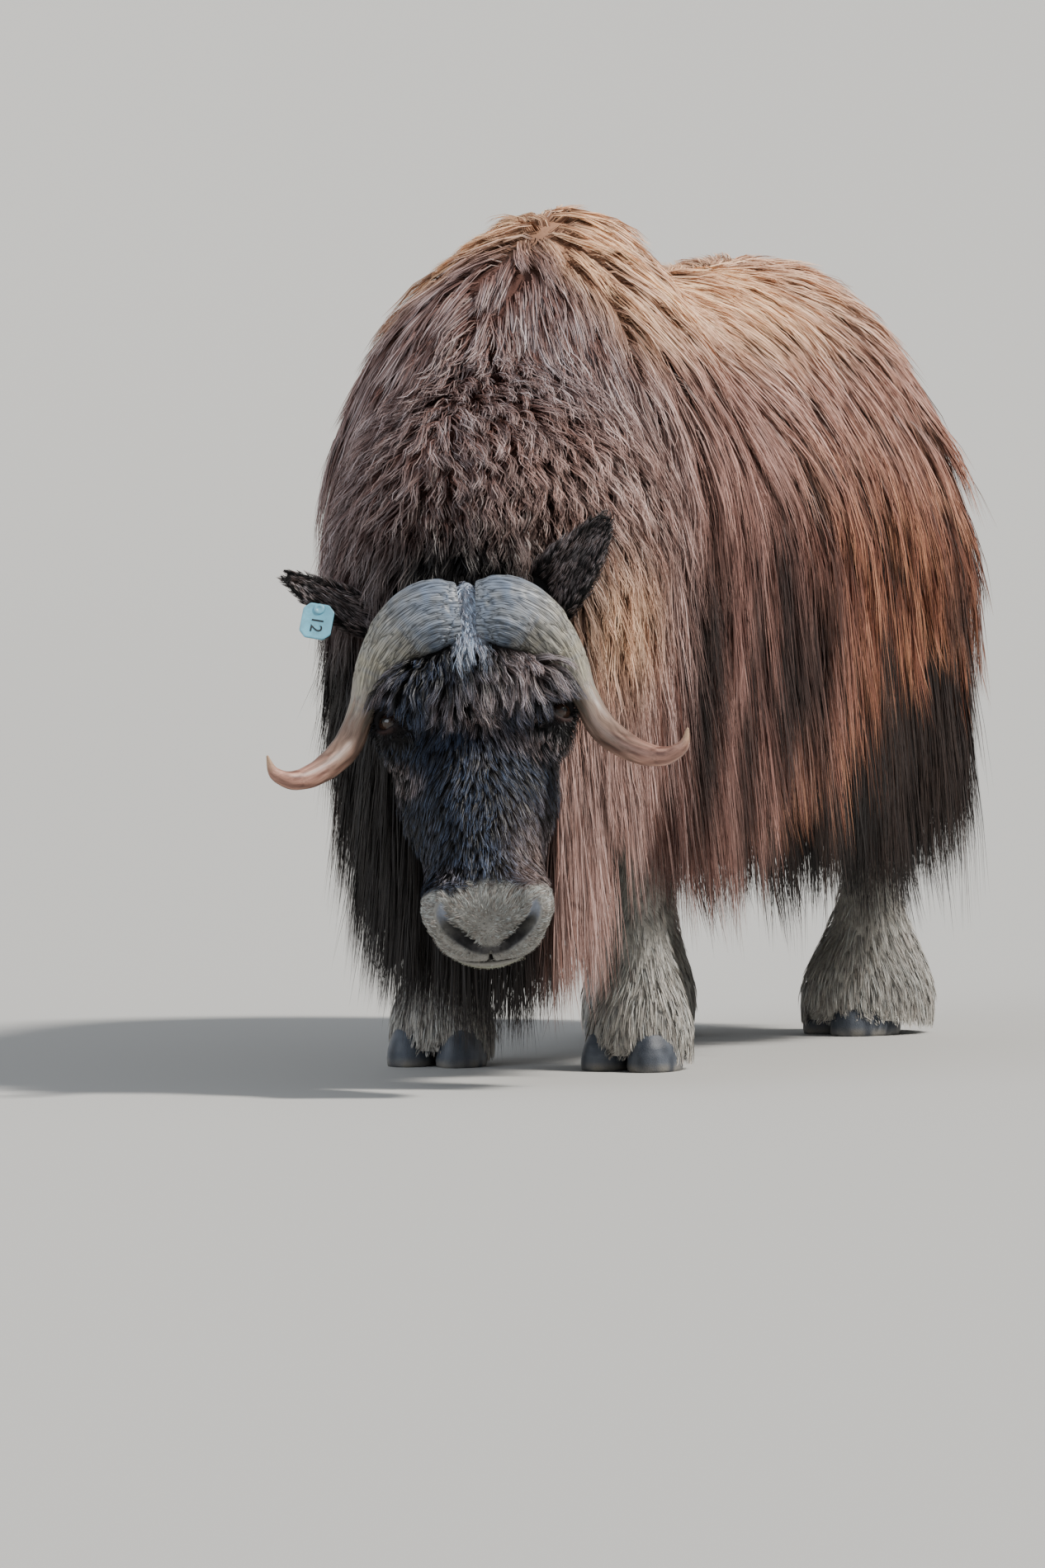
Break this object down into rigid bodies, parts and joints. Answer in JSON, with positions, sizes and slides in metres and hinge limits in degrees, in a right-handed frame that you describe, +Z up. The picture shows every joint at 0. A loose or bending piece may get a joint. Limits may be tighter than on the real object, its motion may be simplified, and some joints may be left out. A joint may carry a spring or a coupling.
{
  "type": "muskox",
  "caption": "Life-size still model of a muskox standing with lowered head, long guard hair to its shins, a horn boss and down-curved horns, and an ear tag.",
  "frame": {"origin": "on the floor, under the middle of the animal's bounding box", "axes": "+Z up, +X to the animal's left, +Y towards its tail, so that it faces -Y"},
  "size_m": [0.7974, 1.95, 1.2162],
  "materials": {
    "guard_hair": "long reddish-brown hair, tan on the back and dark brown below",
    "face_hair": "short black-brown hair, grizzled, pale round the muzzle",
    "leg_hair": "short pale tan hair",
    "horn": "ridged grey-tan horn, browner and smoother towards the tips",
    "hoof": "dark slate horn, worn at the edge",
    "eye": "wet dark brown",
    "tag": "pale blue moulded plastic"
  },
  "bodies": {
    "root": {"head": "face_hair", "horn_left": "horn", "horn_right": "horn", "ear_left": "face_hair", "ear_right": "face_hair", "ear_tag": "tag", "eye_left": "eye", "eye_right": "eye", "neck": "guard_hair", "torso": "guard_hair", "hindquarters": "guard_hair", "tail": "guard_hair", "leg_front_left": "leg_hair", "leg_front_right": "leg_hair", "leg_hind_left": "leg_hair", "leg_hind_right": "leg_hair", "hoof_front_left": "hoof", "hoof_front_right": "hoof", "hoof_hind_left": "hoof", "hoof_hind_right": "hoof"}
  },
  "joints": []
}
